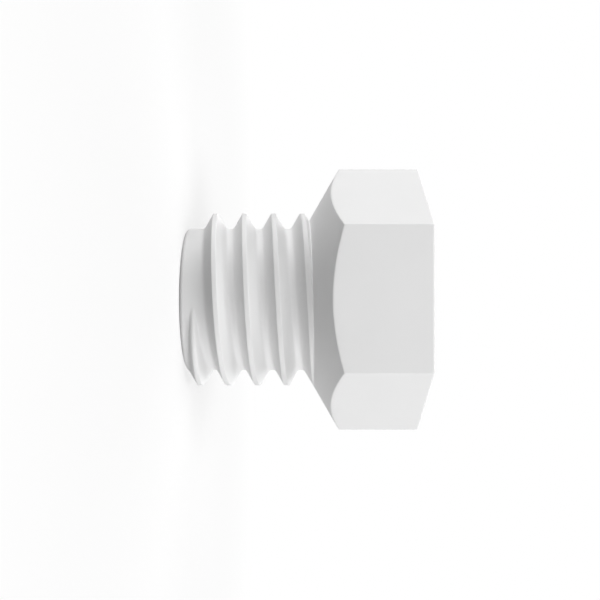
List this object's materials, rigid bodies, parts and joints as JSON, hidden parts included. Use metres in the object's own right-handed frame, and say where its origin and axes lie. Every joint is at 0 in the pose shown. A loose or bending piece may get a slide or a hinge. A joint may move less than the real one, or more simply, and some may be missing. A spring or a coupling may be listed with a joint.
{
  "type": "threaded plug",
  "caption": "Solid moulded plug: a short right-hand screw thread, a conical underside and a hexagonal head with a plain flat top.",
  "frame": {"origin": "centre of the thread's flat end face, on which the plug stands", "axes": "+Z along the plug's axis, from the end of the thread up to the flat top of the head; +X out through a corner of the hexagon; +Y square to a flat of the hexagon"},
  "size_m": [0.0092, 0.008, 0.008],
  "materials": {
    "nylon": "natural white, fine satin as moulded"
  },
  "bodies": {
    "root": {"plug": "nylon"}
  },
  "joints": []
}
